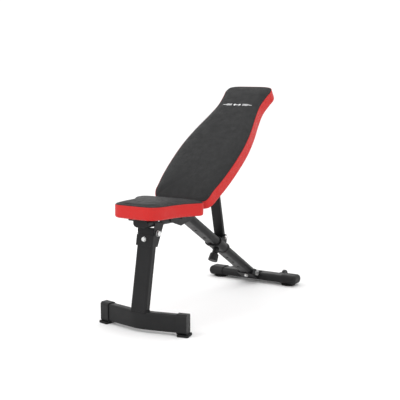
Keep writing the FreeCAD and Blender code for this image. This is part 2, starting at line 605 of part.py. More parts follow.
def slider():
    half = SLEEVE_LENGTH / 2
    envelope = slider_bar(-half, SLEEVE_W, SLEEVE_T, SLEEVE_LENGTH)
    bore = slider_bar(-half, OVAL_W + 2 * SLEEVE_GAP, OVAL_T + 2 * SLEEVE_GAP, SLEEVE_LENGTH)
    pin_hole = rod(on_slider(0, 0), LEG_UP * -1, M8["r"] + 0.5, SLEEVE_T)
    save("slider_sleeve", envelope.cut(bore).cut(pin_hole))
    for name, along in (("upper", -half - COLLAR_LENGTH), ("lower", half)):
        collar = slider_bar(along, COLLAR_W, COLLAR_T, COLLAR_LENGTH)
        rims = [edge for edge in collar.Edges if abs(
            abs((edge.CenterOfMass - on_slider(along + COLLAR_LENGTH / 2, 0)).dot(LEG_DIR))
            - COLLAR_LENGTH / 2) < 0.01]
        collar = collar.makeFillet(1.5, rims)
        inner = slider_bar(along, OVAL_W + 2 * SLIDE, OVAL_T + 2 * SLIDE, COLLAR_LENGTH)
        save("slider_collar_" + name, collar.cut(inner))

    base = SLEEVE_T / 2 - 4
    lug = [on_slider(-LUG_HALF, base), on_slider(LUG_HALF, base),
           on_slider(LUG_HALF, SLEEVE_T / 2 + 3), STRUT_FOOT + LEG_DIR * LUG_R,
           STRUT_FOOT - LEG_DIR * LUG_R, on_slider(-LUG_HALF, SLEEVE_T / 2 + 3)]
    hole = across(STRUT_FOOT, M8["r"] + HOLE, 40)
    lugs = [side.cut(envelope).cut(hole)
            for side in both_sides(lug, LUG_X, LUG_T, [(STRUT_FOOT, LUG_R)])]
    save("slider_lugs", *lugs)
    outer = LUG_X + LUG_T
    pivot = bolted(STRUT_FOOT + X * outer, X * -1, M8, 2 * outer)
    save("strut_pivot_bolt", pivot[0])
    save("strut_pivot_nut_and_washers", pivot[1], *pivot[2])

    under = -SLEEVE_T / 2
    wall = 3.0
    body = rod(on_slider(0, under), LEG_UP * -1, HOUSING_R, HOUSING_LENGTH)
    end = [edge for edge in body.Edges
           if (edge.CenterOfMass - on_slider(0, under)).dot(LEG_UP) < -0.9 * HOUSING_LENGTH]
    body = body.makeChamfer(1.2, end)
    body = body.cut(rod(on_slider(0, under), LEG_UP * -1, M8["r"] + RUN, HOUSING_LENGTH))
    cavity_length = HOUSING_LENGTH - wall
    body = body.cut(rod(on_slider(0, under), LEG_UP * -1, HOUSING_CAVITY_R, cavity_length))
    save("plunger_housing", body)

    collar_low = PIN_COLLAR_AT + PIN_COLLAR_T
    room = -under + cavity_length - collar_low - 2 * SPRING_WIRE_R - 0.6
    points = []
    for step in range(SPRING_TURNS * SPRING_STEPS + 1):
        angle = 2 * math.pi * step / SPRING_STEPS
        points.append(V(SPRING_R * math.cos(angle), SPRING_R * math.sin(angle),
                        room * step / (SPRING_TURNS * SPRING_STEPS)))
    path = Part.BSplineCurve()
    path.interpolate(points)
    profile = Part.Wire([Part.makeCircle(SPRING_WIRE_R, V(SPRING_R, 0, 0), V(0, 1, 0))])
    coil = Part.Wire([path.toShape()]).makePipeShell([profile], True, True)
    coil.Placement = FreeCAD.Placement(
        on_slider(0, -collar_low - SPRING_WIRE_R - 0.3), FreeCAD.Rotation(Z, LEG_UP * -1))
    save("plunger_spring", coil)


def pull_pin():
    down = LEG_UP * -1
    shank_end = KNOB_AT + 0.6 * KNOB_LENGTH
    shank = rod(on_slider(0, -PIN_TIP), down, M8["r"], shank_end - PIN_TIP)
    collar = rod(on_slider(0, -PIN_COLLAR_AT), down, PIN_COLLAR_R, PIN_COLLAR_T)
    save("pull_pin", fuse(shank, collar))
    start = on_slider(0, -KNOB_AT)
    knob = Part.makeCone(KNOB_R - KNOB_TAPER, KNOB_R, KNOB_LENGTH, start, down)
    rims = [edge for edge in knob.Edges if edge.Length > 4 * KNOB_R]
    knob = knob.makeFillet(2, rims)
    groove_r, groove_at = 3.0, KNOB_R + 1.0
    for i in range(KNOB_LOBES):
        side = FreeCAD.Rotation(down, 360 * i / KNOB_LOBES).multVec(X * groove_at)
        knob = knob.cut(rod(start + side - down * 1, down, groove_r, KNOB_LENGTH + 2))
    save("pull_knob", knob.cut(rod(start, down, M8["r"] + 0.02, shank_end - KNOB_AT)))


def main():
    os.makedirs("parts", exist_ok=True)
    joints = []
    front_foot()
    joints += front_post()
    spine()
    joints += hinge()
    seat_washers = seat()
    rear_joints, foot_bar = rear_foot()
    joints += rear_joints
    joints += wheels(foot_bar)
    save("frame_nuts", *[joint[1] for joint in joints])
    save("frame_washers", *seat_washers, *[ring for joint in joints for ring in joint[2]])
    backrest()
    strut()
    slider()
    pull_pin()
    for name, point in (("hinge", HINGE), ("strut top", STRUT_TOP), ("strut foot", STRUT_FOOT),
                        ("slider", SLIDER), ("wheel", WHEEL_CENTRE)):
        print(name, [round(v, 2) for v in (point.x, point.y - ORIGIN_Y, point.z)])


main()
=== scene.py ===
import json
import math

import bmesh
import bpy
import numpy as np
from mathutils import Matrix, Vector, noise
from mathutils.bvhtree import BVHTree


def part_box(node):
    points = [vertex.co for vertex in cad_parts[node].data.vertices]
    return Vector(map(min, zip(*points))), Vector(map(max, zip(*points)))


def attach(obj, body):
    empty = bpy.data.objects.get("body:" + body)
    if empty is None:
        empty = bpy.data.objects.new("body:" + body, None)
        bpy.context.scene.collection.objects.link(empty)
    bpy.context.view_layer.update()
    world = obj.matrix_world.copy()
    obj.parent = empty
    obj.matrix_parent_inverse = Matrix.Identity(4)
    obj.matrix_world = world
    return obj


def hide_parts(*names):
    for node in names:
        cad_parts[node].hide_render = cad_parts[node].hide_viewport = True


# Looks of an adjustable sit up bench: upholstery, weld beads, a printed mark, and materials.
# Lengths are in metres. +X is the sitter's left, +Y runs from the seat to the head end.

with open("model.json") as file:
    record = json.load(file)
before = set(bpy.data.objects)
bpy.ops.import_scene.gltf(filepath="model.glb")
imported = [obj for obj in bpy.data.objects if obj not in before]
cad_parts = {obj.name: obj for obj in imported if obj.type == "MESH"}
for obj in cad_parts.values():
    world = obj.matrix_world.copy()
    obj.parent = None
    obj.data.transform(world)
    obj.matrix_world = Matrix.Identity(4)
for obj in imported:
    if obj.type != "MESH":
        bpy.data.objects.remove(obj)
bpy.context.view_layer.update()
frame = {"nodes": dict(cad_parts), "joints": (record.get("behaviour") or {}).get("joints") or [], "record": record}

JOINTS = {joint["name"]: joint for joint in frame["joints"]}
HINGE = Vector(JOINTS["backrest_hinge"]["pos_m"])
MM = 0.001


def tilt(angle):
    """Unit vector in the side view, at an angle above the +Y direction."""
    return Vector((0, math.cos(math.radians(angle)), math.sin(math.radians(angle))))


# ---------------------------------------------------------------- places shared with the CAD
BACK_ANGLE, SEAT_ANGLE, LEG_ANGLE = 34.6, -2.6, -32.0
BACK_DIR, BACK_UP = tilt(BACK_ANGLE), tilt(BACK_ANGLE + 90)
SEAT_DIR, SEAT_UP = tilt(SEAT_ANGLE), tilt(SEAT_ANGLE + 90)
LEG_DIR, LEG_UP = tilt(LEG_ANGLE), tilt(LEG_ANGLE + 90)
BACK_EDGE = HINGE - BACK_DIR * 0.058 + BACK_UP * 0.060
FOOT_CENTRE = (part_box("rear_foot_tube")[0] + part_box("rear_foot_tube")[1]) / 2


def side_view(y_mm, z_mm, x_mm=0.0):
    """Point given as in the CAD's side view: y from the rear foot's centre, z from the floor."""
    return Vector((x_mm * MM, FOOT_CENTRE.y + y_mm * MM, z_mm * MM))


SEAT_EDGE = side_view(-841, 421.5)
SLIDER = side_view(-126, 93.7) - LEG_DIR * 0.2
STRUT_FOOT = Vector(JOINTS["strut_pivot"]["pos_m"])
STRUT_LEAN, STRUT_LENGTH = 13.2, 0.2717
STRUT_TOP = STRUT_FOOT + tilt(90 + STRUT_LEAN) * STRUT_LENGTH
BEAM_AT, BEAM_DROP = 0.055, 0.0611          # the beam's front end, along and under the seam plane
BEAM_START = SEAT_EDGE + SEAT_DIR * BEAM_AT - SEAT_UP * BEAM_DROP
POST_Y, POST_LOW = -801.3, 69.2             # middle of the post's foot, and its welded edge
CROSSBAR_AT, CROSSBAR_REACH, CROSSBAR_DROP = (80, 200), 15.4, 0.0459
ROUND_Y, ROUND_Z = 15, 24                   # centres of the rear foot tube's two round sides
SIDE_X = 33.9                               # outer face of the saddle bracket's side plates
WHEEL_EAR_X = (100.2, 119.8)

# pad outlines: half width and distance along the pad, in mm
SEAT_OUTLINE = [(0, 0), (45, 0.5), (66, 6), (80, 20), (90, 44), (94, 85), (98, 125), (106, 158),
                (121, 190), (133, 214), (129, 232), (104, 240), (0, 240)]
BACK_OUTLINE = [(0, 42), (72, 42), (100, 48), (113, 68), (119, 105), (127, 160), (132, 240),
                (131, 330), (120, 415), (102, 500), (92, 565), (95, 622), (99, 653), (90, 677),
                (61, 686), (0, 687)]
SEAT_DEPTH, BACK_DEPTH = 0.043, 0.045


# ---------------------------------------------------------------- materials
class Nodes:
    """A few short calls to build a material's node tree."""

    def __init__(self, name, roughness, metallic=0.0, **constants):
        self.material = bpy.data.materials.new(name)
        self.material.use_nodes = True
        self.tree = self.material.node_tree
        self.shader = self.tree.nodes["Principled BSDF"]
        self.shader.inputs["Metallic"].default_value = metallic
        self.shader.inputs["Roughness"].default_value = roughness
        for socket, value in constants.items():
            self.shader.inputs[socket.replace("_", " ")].default_value = value
        self.place = self.tree.nodes.new("ShaderNodeTexCoord").outputs["Object"]

    def add(self, kind, inputs=(), **settings):
        node = self.tree.nodes.new("ShaderNode" + kind)
        for key, value in settings.items():
            setattr(node, key, value)
        for socket, value in dict(inputs).items():
            if isinstance(value, bpy.types.NodeSocket):
                self.tree.links.new(value, node.inputs[socket])
            else:
                node.inputs[socket].default_value = value
        return node

    def noise(self, scale, detail=3.0, roughness=0.55, place=None):
        node = self.add("TexNoise", {"Vector": place or self.place, "Scale": scale,
                                     "Detail": detail, "Roughness": roughness})
        return node.outputs["Fac"]

    def stretched(self, scales):
        node = self.add("Mapping", {"Vector": self.place, "Scale": scales})
        return node.outputs["Vector"]

    def cells(self, scale, feature="DISTANCE_TO_EDGE", randomness=1.0, place=None):
        node = self.add("TexVoronoi", {"Vector": place or self.place, "Scale": scale,
                                       "Randomness": randomness}, feature=feature)
        return node.outputs["Distance"]

    def ramp(self, value, low, high, start=0.0, end=1.0):
        """Colour ramp between two colours as value goes from start to end."""
        node = self.add("ValToRGB", {"Fac": value})
        first, last = node.color_ramp.elements
        first.position, last.position = start, end
        first.color, last.color = (*low, 1), (*high, 1)
        return node.outputs["Color"]

    def span(self, value, low, high, start=0.0, end=1.0):
        node = self.add("MapRange", {"Value": value, "From Min": start, "From Max": end,
                                     "To Min": low, "To Max": high})
        return node.outputs["Result"]

    def mix(self, factor, low, high):
        node = self.add("Mix", data_type="RGBA")
        for socket, value in ((0, factor), (6, low), (7, high)):
            if isinstance(value, bpy.types.NodeSocket):
                self.tree.links.new(value, node.inputs[socket])
            else:
                node.inputs[socket].default_value = value if socket == 0 else (*value, 1)
        return node.outputs[2]

    def math(self, operation, a, b):
        return self.add("Math", {0: a, 1: b}, operation=operation).outputs[0]

    def edges(self, radius, samples=6):
        """1 along convex and concave edges and 0 on open faces."""
        bevel = self.add("Bevel", {"Radius": radius}, samples=samples)
        geometry = self.add("NewGeometry")
        product = self.add("VectorMath", {0: bevel.outputs["Normal"],
                                          1: geometry.outputs["Normal"]},
                           operation="DOT_PRODUCT")
        return self.span(product.outputs["Value"], 1.0, 0.0, 0.9, 1.0)

    def colour(self, socket):
        self.tree.links.new(socket, self.shader.inputs["Base Color"])

    def rough(self, socket):
        self.tree.links.new(socket, self.shader.inputs["Roughness"])

    def bump(self, *layers):
        """Layers of (height, distance in metres), stacked."""
        normal = None
        for height, distance in layers:
            inputs = {"Height": height, "Distance": distance, "Strength": 1.0}
            if normal:
                inputs["Normal"] = normal
            normal = self.add("Bump", inputs).outputs["Normal"]
        self.tree.links.new(normal, self.shader.inputs["Normal"])


def vinyl(name, dark, light, roughness):
    """Leather-grained vinyl: pebbles with painted shade darkening the valleys between them, fine pores, and a slow
    change of tone and gloss.
    """
    m = Nodes(name, roughness, Specular_IOR_Level=0.2)
    warp = m.add("VectorMath", {0: m.place, 1: m.add("TexNoise", {
        "Vector": m.place, "Scale": 260.0, "Detail": 2.0}).outputs["Color"], 2: (0.0012,) * 3},
        operation="MULTIPLY_ADD")
    swirled = m.add("VectorMath", {0: m.place, 1: warp.outputs[0]}, operation="ADD")
    pebbles = m.span(m.cells(620.0, place=swirled.outputs[0]), 0.0, 1.0, 0.0, 0.22)
    pores = m.noise(2600.0, 2.0)
    cloud = m.noise(9.0, 3.0)
    wear = m.noise(42.0, 4.0)
    shade = m.ramp(m.math("MULTIPLY_ADD", cloud, 0.7), dark, light, 0.2, 0.62)
    # painted shade: the colour is darkened in the valleys between the pebbles, by up to about a seventh
    painted_valley_shade = m.ramp(pebbles, (0.74,) * 3, (1.0,) * 3, 0.0, 0.5)
    tone = m.add("Mix", data_type="RGBA", blend_type="MULTIPLY")
    tone.inputs[0].default_value = 0.55
    m.tree.links.new(shade, tone.inputs[6])
    m.tree.links.new(painted_valley_shade, tone.inputs[7])
    m.colour(tone.outputs[2])
    m.rough(m.span(wear, roughness - 0.07, roughness + 0.1, 0.3, 0.7))
    m.bump((wear, 0.0006), (pebbles, 0.00016), (pores, 0.00005))
    return m.material


def powder_coat():
    """Satin black powder coat: orange peel, thin spots on the edges, and a little dust."""
    m = Nodes("frame_paint", 0.42, Specular_IOR_Level=0.24)
    peel = m.noise(750.0, 2.0, 0.5)
    grit = m.noise(3200.0, 2.0, 0.6)
    cloud = m.noise(14.0, 4.0, 0.6)
    rub = m.math("MULTIPLY", m.edges(0.0012), m.span(m.noise(60.0, 5.0), 0.0, 1.0, 0.45, 0.62))
    paint = m.ramp(cloud, (0.0055, 0.0056, 0.006), (0.0095, 0.0096, 0.0102), 0.3, 0.7)
    m.colour(m.mix(rub, paint, (0.04, 0.041, 0.043)))
    m.rough(m.span(m.noise(35.0, 5.0), 0.35, 0.5, 0.3, 0.7))
    m.bump((peel, 0.00012), (grit, 0.00002))
    return m.material


def zinc():
    """Bright zinc plate with a faint blue and yellow passivation tint and handling marks."""
    m = Nodes("zinc", 0.28, metallic=1.0)
    patch = m.noise(160.0, 4.0)
    m.colour(m.ramp(patch, (0.62, 0.64, 0.66), (0.82, 0.81, 0.78), 0.3, 0.7))
    m.rough(m.span(m.noise(420.0, 4.0), 0.2, 0.42, 0.3, 0.7))
    m.bump((m.noise(1600.0, 2.0), 0.00003))
    return m.material


def turned_steel(name, tint):
    """Plain steel with fine drawn lines along X and a few dark specks."""
    m = Nodes(name, 0.35, metallic=1.0)
    lines = m.noise(1.0, 4.0, 0.7, m.stretched((60.0, 2600.0, 2600.0)))
    specks = m.noise(300.0, 5.0, 0.7)
    m.colour(m.ramp(specks, tuple(0.55 * t for t in tint), tint, 0.3, 0.5))
    m.rough(m.span(lines, 0.25, 0.5, 0.3, 0.7))
    m.bump((lines, 0.00002))
    return m.material


def moulded(name, dark, light, roughness, texture):
    """Moulded polymer with a spark-eroded texture and scuffed edges."""
    m = Nodes(name, roughness, Specular_IOR_Level=0.28)
    spark = m.noise(texture, 3.0, 0.6)
    cloud = m.noise(25.0, 4.0)
    scuff = m.math("MULTIPLY", m.edges(0.0015), m.span(m.noise(90.0, 5.0), 0.0, 0.8, 0.42, 0.65))
    body = m.ramp(cloud, dark, light, 0.3, 0.7)
    m.colour(m.mix(scuff, body, tuple(4.0 * c for c in light)))
    m.rough(m.span(m.noise(70.0, 5.0), roughness - 0.06, roughness + 0.1, 0.3, 0.7))
    m.bump((spark, 0.00009), (m.noise(texture * 3, 2.0), 0.00002))
    return m.material


def plywood():
    """Birch plywood: long grain on the faces and darker growth lines."""
    m = Nodes("plywood", 0.62)
    grain = m.noise(1.0, 6.0, 0.65, m.stretched((420.0, 22.0, 260.0)))
    bands = m.noise(1.0, 3.0, 0.5, m.stretched((45.0, 3.0, 30.0)))
    light = m.ramp(bands, (0.5, 0.34, 0.19), (0.66, 0.49, 0.31), 0.3, 0.7)
    m.colour(m.mix(m.span(grain, 0.0, 0.6, 0.5, 0.75), light, (0.3, 0.18, 0.09)))
    m.bump((grain, 0.0001))
    return m.material


def dust_cloth():
    """Black non-woven cloth: matted fibres with point bonds."""
    m = Nodes("bottom_cloth", 0.92, Specular_IOR_Level=0.2)
    fibres = m.noise(1.0, 5.0, 0.7, m.stretched((900.0, 1500.0, 900.0)))
    bonds = m.span(m.cells(520.0, "F1", 0.15), 0.0, 1.0, 0.15, 0.45)
    m.colour(m.ramp(m.math("MULTIPLY", fibres, bonds), (0.008, 0.008, 0.009),
                    (0.045, 0.045, 0.048), 0.05, 0.6))
    m.bump((bonds, 0.00012), (fibres, 0.0001))
    return m.material


def ink():
    """White screen print on vinyl, a little worn."""
    m = Nodes("white_print", 0.5)
    worn = m.noise(900.0, 4.0, 0.7)
    m.colour(m.ramp(worn, (0.5, 0.5, 0.51), (0.86, 0.86, 0.87), 0.32, 0.42))
    m.bump((m.noise(1500.0, 2.0), 0.00004))
    return m.material


MATERIALS = {
    "vinyl_black": vinyl("vinyl_black", (0.0085, 0.0087, 0.0091), (0.0125, 0.0127, 0.0132), 0.5),
    "vinyl_red": vinyl("vinyl_red", (0.47, 0.012, 0.011), (0.56, 0.02, 0.018), 0.42),
    "frame_paint": powder_coat(),
    "zinc": zinc(),
    "spring_steel": turned_steel("spring_steel", (0.5, 0.5, 0.52)),
    "bush_steel": turned_steel("bush_steel", (0.46, 0.46, 0.47)),
    "plastic": moulded("plastic", (0.005, 0.005, 0.0055), (0.009, 0.009, 0.0095), 0.5, 1500.0),
    "rubber": moulded("rubber", (0.005, 0.005, 0.005), (0.008, 0.008, 0.008), 0.72, 700.0),
    "wheel_plastic": moulded("wheel_plastic", (0.014, 0.014, 0.015), (0.024, 0.024, 0.025), 0.4,
                             2200.0),
    "plywood": plywood(),
    "bottom_cloth": dust_cloth(),
    "white_print": ink(),
    "thread": moulded("thread", (0.012, 0.012, 0.013), (0.03, 0.03, 0.032), 0.6, 3000.0),
}


def paint_cad_nodes():
    slots = {part["node"]: part["material_slot"] for part in frame["record"]["subparts"]}
    for name, node in frame["nodes"].items():
        node.data.materials.clear()
        node.data.materials.append(MATERIALS[slots[name]])


# ---------------------------------------------------------------- mesh helpers
def new_piece(name, vertices, faces, material, body, slot=None, smooth=True):
    mesh = bpy.data.meshes.new(name)
    mesh.from_pydata([tuple(v) for v in vertices], [], [tuple(f) for f in faces])
    mesh.polygons.foreach_set("use_smooth", [smooth] * len(mesh.polygons))
    mesh.validate()
    piece = bpy.data.objects.new(name, mesh)
    bpy.context.scene.collection.objects.link(piece)
    if material:
        mesh.materials.append(MATERIALS[material])
    if body:
        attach(piece, body)
    return piece


def apply_modifiers(piece):
    depsgraph = bpy.context.evaluated_depsgraph_get()
    mesh = bpy.data.meshes.new_from_object(piece.evaluated_get(depsgraph), depsgraph=depsgraph)
    piece.modifiers.clear()
    piece.data = mesh


def smooth_closed(points, count):
    """Evenly spaced points on the closed smooth curve through points."""
    p = np.array(points, float)
    samples = []
    for i in range(len(p)):
        a, b, c, d = (p[(i + k) % len(p)] for k in (-1, 0, 1, 2))
        for t in np.linspace(0, 1, 24, endpoint=False):
            samples.append(0.5 * (2 * b + (c - a) * t + (2 * a - 5 * b + 4 * c - d) * t ** 2
                                  + (3 * b - a - 3 * c + d) * t ** 3))
    s = np.array(samples + samples[:1])
    run = np.concatenate([[0], np.cumsum(np.linalg.norm(np.diff(s, axis=0), axis=1))])
    even = np.linspace(0, run[-1], count, endpoint=False)
    return np.stack([np.interp(even, run, s[:, k]) for k in (0, 1)], -1)


def pad_outline(half, count):
    """Closed outline (x, distance along) in metres from half an outline in mm."""
    right = [(w, t) for w, t in half]
    left = [(-w, t) for w, t in half[-2:0:-1]]
    return smooth_closed(right + left, count) * MM


def inward_normals(ring):
    along = np.roll(ring, -1, 0) - np.roll(ring, 1, 0)
    along /= np.linalg.norm(along, axis=1)[:, None]
    return np.stack([-along[:, 1], along[:, 0]], -1)


def tube_mesh(points, radii, sides, closed):
    """Vertices and faces of a tube along points, with its own radius at each."""
    count = len(points)
    vertices, faces = [], []
    reference = None
    for i, point in enumerate(points):
        if closed:
            before, after = points[i - 1], points[(i + 1) % count]
        else:
            before, after = points[max(i - 1, 0)], points[min(i + 1, count - 1)]
        way = (after - before).normalized()
        if reference is None:
            reference = way.orthogonal().normalized()
        reference = (reference - way * reference.dot(way)).normalized()
        other = way.cross(reference)
        for k in range(sides):
            turn = 2 * math.pi * k / sides
            vertices.append(point + (reference * math.cos(turn) + other * math.sin(turn))
                            * radii[i])
    for i in range(count if closed else count - 1):
        for k in range(sides):
            a, b = i * sides + k, i * sides + (k + 1) % sides
            c, d = ((i + 1) % count) * sides + (k + 1) % sides, ((i + 1) % count) * sides + k
            faces.append((a, b, c, d))
    if not closed:
        faces.append(tuple(range(sides))[::-1])
        faces.append(tuple((count - 1) * sides + k for k in range(sides)))
    return vertices, faces


def gather(groups):
    """Joins several (vertices, faces) lists into one."""
    vertices, faces = [], []
    for group_vertices, group_faces in groups:
        base = len(vertices)
        vertices += group_vertices
        faces += [tuple(i + base for i in face) for face in group_faces]
    return vertices, faces


# ---------------------------------------------------------------- upholstery
RING = 176                     # points round a pad
EDGE_INSET = 0.014             # where true insets give way to rings drawn towards the middle line
UNDER_INSET = 0.0135           # how far the side band is folded under the pad
MIDDLE_LINE = 0.62             # length of the middle line as a share of the pad's
SEAM_TUCK = 0.0012             # depth of the sewn seam's groove
BAND_THICKNESS = 0.0013
CALMING_PASSES = 6             # smoothing of the filled top
DIP_REACH, DIP_FADE = 0.045, 0.03   # how far a seam's dip runs round the end and into the top
STITCH_PITCH, THREAD_R = 0.0055, 0.00042
MARK_AT = 556.0                # the printed mark's place along the backrest, in mm
PRINT_LIFT = 0.0002
PATCH_CELL = 1.2               # grid pitch of the printed mark, in mm


def pad_rows(depth, crown):
    """Cross-section from the middle of the underside to the middle of the top.

    Each row is (inset, share towards the middle line, height over the seam plane, cloth pin).
    Returns the rows and the indices of the band's folded edge and of the seam.
    """
    rows = [(EDGE_INSET, share, -depth + 0.0011, 1.0) for share in (1.0, 0.75, 0.5, 0.25, 0.0)]
    rows.append((UNDER_INSET, 0.0, -depth - 0.0002, 1.0))
    under = len(rows) - 1
    rows += [(0.0085, 0.0, -depth - 0.0003, 1.0), (0.004, 0.0, -depth + 0.0012, 1.0),
             (0.0012, 0.0, -depth + 0.0045, 0.9)]
    rows += [(0.0006, 0.0, -depth * share, 0.75) for share in (0.78, 0.62, 0.46, 0.3, 0.16)]
    rows += [(0.0005, 0.0, -0.0028, 0.9), (0.0012, 0.0, 0.0, 1.0)]
    seam = len(rows) - 1
    rise_over = 0.055
    for inset in (0.0028, 0.0055, 0.0095, EDGE_INSET):
        rise = 1 - (1 - inset / rise_over) ** 2.4
        rows.append((inset, 0.0, crown * rise, 0.15))
    for share in (0.1, 0.2, 0.32, 0.46, 0.62, 0.8, 1.0):
        reach = min(1.0, (EDGE_INSET + share * 0.1) / rise_over)
        rows.append((EDGE_INSET, share, crown * (1 - (1 - reach) ** 2.4), 0.0))
    return rows, under, seam


def pad_surface(half, depth, crown, dip):
    """Rows of points in pad coordinates (x, along, height), the pins, and the row indices.

    The seam dips by dip round the pad's first end.
    """
    ring = pad_outline(half, RING)
    inward = inward_normals(ring)
    middle = (ring[:, 1].max() + ring[:, 1].min()) / 2
    axis = np.stack([ring[:, 0] * 0, middle + (ring[:, 1] - middle) * MIDDLE_LINE], -1)
    rows, under, seam = pad_rows(depth, crown)
    levels = []
    first = ring[:, 1].min()
    near_end = np.clip(1 - (ring[:, 1] - first) / DIP_REACH, 0, 1)
    drop = dip * near_end ** 2 * (3 - 2 * near_end)
    for inset, share, height, pin in rows:
        flat = (ring + inward * inset) * (1 - share) + axis * share
        hold = 1 + height / depth if height < 0 else (1 - share) * (1 - inset / DIP_FADE)
        levels.append(np.column_stack([flat, height - drop * max(0.0, hold)]))
    return np.array(levels), [row[3] for row in rows], under, seam


def inflate(piece, pins, cap, seam):
    """Fills the cover with cloth simulation at low pressure; no point moves further than cap.

    The middle line's two sides are kept level, so that no crease shows along it.
    """
    before = np.array([v.co for v in piece.data.vertices])
    group = piece.vertex_groups.new(name="pin")
    for index, pin in enumerate(pins):
        if pin > 0:
            group.add(list(range(index * RING, (index + 1) * RING)), pin, "REPLACE")
    cloth = piece.modifiers.new("cloth", "CLOTH")
    cloth.settings.quality = 6
    cloth.settings.mass = 0.35
    cloth.settings.tension_stiffness = 22
    cloth.settings.compression_stiffness = 22
    cloth.settings.bending_stiffness = 6
    cloth.settings.use_pressure = True
    cloth.settings.uniform_pressure_force = 4.0
    cloth.settings.vertex_group_mass = "pin"
    cloth.settings.pin_stiffness = 1.0
    cloth.settings.effector_weights.gravity = 0.0
    cloth.collision_settings.use_collision = False
    cloth.point_cache.frame_start, cloth.point_cache.frame_end = 1, 20
    for step in range(1, 21):
        bpy.context.scene.frame_set(step)
    apply_modifiers(piece)
    bpy.context.scene.frame_set(1)
    after = np.array([v.co for v in piece.data.vertices])
    move = after - before
    length = np.linalg.norm(move, axis=1)
    scale = np.where(length > 1e-9, cap * np.tanh(length / cap) / np.maximum(length, 1e-9), 0)
    shift = (move * scale[:, None]).reshape(-1, RING, 3)
    shift[-1] = 0
    other_side = (-np.arange(RING)) % RING
    for row, own in ((-2, 0.5), (-3, 0.75)):
        shift[row] = shift[row] * own + shift[row][other_side] * (1 - own)
    shift[-1] = shift[-2]
    for _ in range(CALMING_PASSES):
        crown = shift[seam + 3:-1]
        crown += 0.25 * (shift[seam + 2:-2] + shift[seam + 4:] - 2 * crown)
        shift[-1] = (shift[-2] + shift[-2][other_side]) / 2
    piece.data.vertices.foreach_set("co", (before + shift.reshape(-1, 3)).ravel())


def to_world(points, base, along, up):
    flat = points.reshape(-1, 3)
    x, a, u = np.array((1.0, 0, 0)), np.array(along), np.array(up)
    return np.array(base) + flat[:, :1] * x + flat[:, 1:2] * a + flat[:, 2:] * u


def denser(levels, factor=2):
    """Smoothly interpolated grid, with factor times the rows and points round."""
    rows, ring, _ = levels.shape
    grid = np.concatenate([2 * levels[:1] - levels[1:2], levels, 2 * levels[-1:] - levels[-2:-1]])

    def between(a, b, c, d, t):
        return 0.5 * (2 * b + (c - a) * t + (2 * a - 5 * b + 4 * c - d) * t ** 2
                      + (3 * b - a - 3 * c + d) * t ** 3)

    tall = []
    for r in range(rows - 1):
        for step in range(factor):
            tall.append(between(*grid[r:r + 4], step / factor))
    tall = np.array(tall + [levels[-1]])
    wide = []
    for step in range(factor):
        wide.append(between(np.roll(tall, 1, 1), tall, np.roll(tall, -1, 1),
                            np.roll(tall, -2, 1), step / factor))
    return np.stack(wide, 2).reshape(len(tall), ring * factor, 3)


def rows_mesh(levels):
    """Vertices and faces of closed rings of points, one ring after the other."""
    rows, ring, _ = levels.shape
    vertices = levels.reshape(-1, 3)
    faces = []
    for r in range(rows - 1):
        for k in range(ring):
            n = (k + 1) % ring
            faces.append((r * ring + k, r * ring + n, (r + 1) * ring + n, (r + 1) * ring + k))
    return vertices, faces


def grid_normals(levels):
    round_way = np.roll(levels, -1, 1) - np.roll(levels, 1, 1)
    up_way = np.gradient(levels, axis=0)
    normal = np.cross(round_way, up_way)
    return normal / np.maximum(np.linalg.norm(normal, axis=2), 1e-12)[..., None]


def merge_doubles(piece, distance):
    b = bmesh.new()
    b.from_mesh(piece.data)
    bmesh.ops.remove_doubles(b, verts=b.verts, dist=distance)
    bmesh.ops.recalc_face_normals(b, faces=b.faces)
    b.to_mesh(piece.data)
    b.free()


def pad(name, half, place, depth, crown, dip, cap, body, cad_node):
    """A cushion in two pieces: the black crowned top with its foam, and the red side band.

    place is the pad's edge on the seam plane, and its two directions along and up.
    """
    base, along, up = place
    levels, pins, under, seam = pad_surface(half, depth, crown, dip)
    world = to_world(levels, base, along, up).reshape(levels.shape)
    trial = new_piece(name + "_trial", *rows_mesh(world), None, None)
    inflate(trial, pins, cap, seam)
    world = np.array([v.co for v in trial.data.vertices]).reshape(levels.shape)
    bpy.data.objects.remove(trial)
    fine = denser(world, 2)
    under, seam = under * 2, seam * 2
    normals = grid_normals(fine)
    if np.dot(normals[-4].mean(0), np.array(up)) < 0:
        normals = -normals

    ring = fine.shape[1]
    pucker = np.array([noise.noise(Vector((math.cos(2 * math.pi * k / ring) * ring * 0.09,
                                           math.sin(2 * math.pi * k / ring) * ring * 0.09, 3.1)))
                       for k in range(ring)])
    for r in range(seam - 8, seam + 9):
        near = max(0.0, 1 - abs(r - seam) / 9)
        fine[r] += normals[r] * (pucker * 0.0009 * near * (1 - near) * 2)[:, None]

    core = fine.copy()
    core[under - 1:seam] -= normals[under - 1:seam] * (BAND_THICKNESS + 0.0009)
    for r, share in ((seam, 1.0), (seam + 1, 0.55), (seam + 2, 0.15)):
        core[r] -= normals[r] * SEAM_TUCK * share
    top = new_piece(name + "_top", *rows_mesh(core), "vinyl_black", body)
    merge_doubles(top, 0.00005)
    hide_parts(cad_node)

    outer = fine[under:seam + 1].copy()
    lip = normals[seam - 2:seam + 1]
    outer[-1] -= lip[-1] * SEAM_TUCK * 0.5
    outer[-2] += normals[seam - 1] * 0.0003
    inner = outer - normals[under:seam + 1] * BAND_THICKNESS
    loop = np.concatenate([outer, inner[::-1], outer[:1]])
    band = new_piece(name + "_side_band", *rows_mesh(loop), "vinyl_red", body)
    merge_doubles(band, 0.00002)
    return top, band, fine, normals, seam


